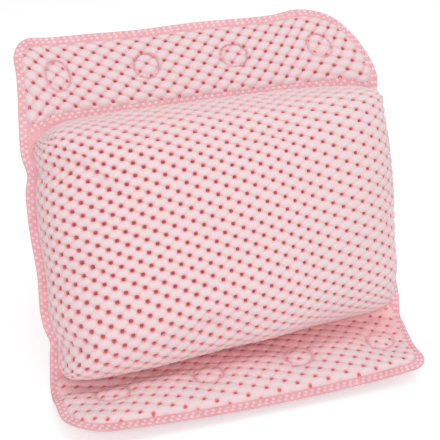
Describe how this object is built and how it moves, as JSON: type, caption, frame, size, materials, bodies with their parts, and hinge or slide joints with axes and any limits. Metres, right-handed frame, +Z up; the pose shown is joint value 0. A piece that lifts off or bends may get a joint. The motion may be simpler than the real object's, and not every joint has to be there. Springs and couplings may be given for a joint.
{
  "type": "bath pillow",
  "caption": "Bath pillow of pale pink foamed mesh: a thick loaf-shaped cushion between two flaps that bend at welded folds, with suction cups behind the flaps.",
  "frame": {"origin": "midway across the width, on the line of the lower suction cups, in the plane of their rims", "axes": "+X across the width, to the right seen from the front; +Y to the back; +Z up. The front of the cushion faces -Y and leans back 26 degrees, and the lower flap lies level towards -Y"},
  "size_m": [0.33, 0.2443, 0.2747],
  "materials": {
    "mesh": "matt foamed mesh with pale nubs and open holes",
    "backing": "matt foamed backing sheet",
    "weld": "pressed satin strip with rows of pale dots",
    "core": "open foam",
    "cup": "clear soft moulding, glossy"
  },
  "bodies": {
    "lower_flap": {"lower_flap_weld_frame": "weld", "lower_flap_front_sheet": "mesh", "lower_flap_back_sheet": "backing"},
    "cushion": {"cushion_weld_frame": "weld", "cushion_front_sheet": "mesh", "cushion_foam_core": "core", "cushion_back_sheet": "backing"},
    "upper_flap": {"upper_flap_weld_frame": "weld", "upper_flap_front_sheet": "mesh", "upper_flap_back_sheet": "backing"},
    "lower_cup_1": {"lower_suction_cup_1": "cup"},
    "lower_cup_2": {"lower_suction_cup_2": "cup"},
    "lower_cup_3": {"lower_suction_cup_3": "cup"},
    "lower_cup_4": {"lower_suction_cup_4": "cup"},
    "upper_cup_1": {"upper_suction_cup_1": "cup"},
    "upper_cup_2": {"upper_suction_cup_2": "cup"},
    "upper_cup_3": {"upper_suction_cup_3": "cup"},
    "upper_cup_4": {"upper_suction_cup_4": "cup"}
  },
  "joints": [
    {"name": "lower_fold", "type": "hinge", "parent": "lower_flap", "child": "cushion", "pos_m": [0, 0.038, 0.01345], "axis": [1, 0, 0], "range_deg": [-64, 16]},
    {"name": "upper_fold", "type": "hinge", "parent": "cushion", "child": "upper_flap", "pos_m": [0, 0.13795, 0.21838], "axis": [1, 0, 0], "range_deg": [-70, 50]},
    {"name": "lower_cup_1_swivel", "type": "hinge", "parent": "lower_flap", "child": "lower_cup_1", "pos_m": [-0.1185, 0, 0], "axis": [0, 0, 1], "continuous": true},
    {"name": "lower_cup_2_swivel", "type": "hinge", "parent": "lower_flap", "child": "lower_cup_2", "pos_m": [-0.0355, 0, 0], "axis": [0, 0, 1], "continuous": true},
    {"name": "lower_cup_3_swivel", "type": "hinge", "parent": "lower_flap", "child": "lower_cup_3", "pos_m": [0.0475, 0, 0], "axis": [0, 0, 1], "continuous": true},
    {"name": "lower_cup_4_swivel", "type": "hinge", "parent": "lower_flap", "child": "lower_cup_4", "pos_m": [0.1305, 0, 0], "axis": [0, 0, 1], "continuous": true},
    {"name": "upper_cup_1_swivel", "type": "hinge", "parent": "upper_flap", "child": "upper_cup_1", "pos_m": [-0.1245, 0.17535, 0.23579], "axis": [0, -0.6947, 0.7193], "continuous": true},
    {"name": "upper_cup_2_swivel", "type": "hinge", "parent": "upper_flap", "child": "upper_cup_2", "pos_m": [-0.0415, 0.17535, 0.23579], "axis": [0, -0.6947, 0.7193], "continuous": true},
    {"name": "upper_cup_3_swivel", "type": "hinge", "parent": "upper_flap", "child": "upper_cup_3", "pos_m": [0.0415, 0.17535, 0.23579], "axis": [0, -0.6947, 0.7193], "continuous": true},
    {"name": "upper_cup_4_swivel", "type": "hinge", "parent": "upper_flap", "child": "upper_cup_4", "pos_m": [0.1245, 0.17535, 0.23579], "axis": [0, -0.6947, 0.7193], "continuous": true}
  ]
}
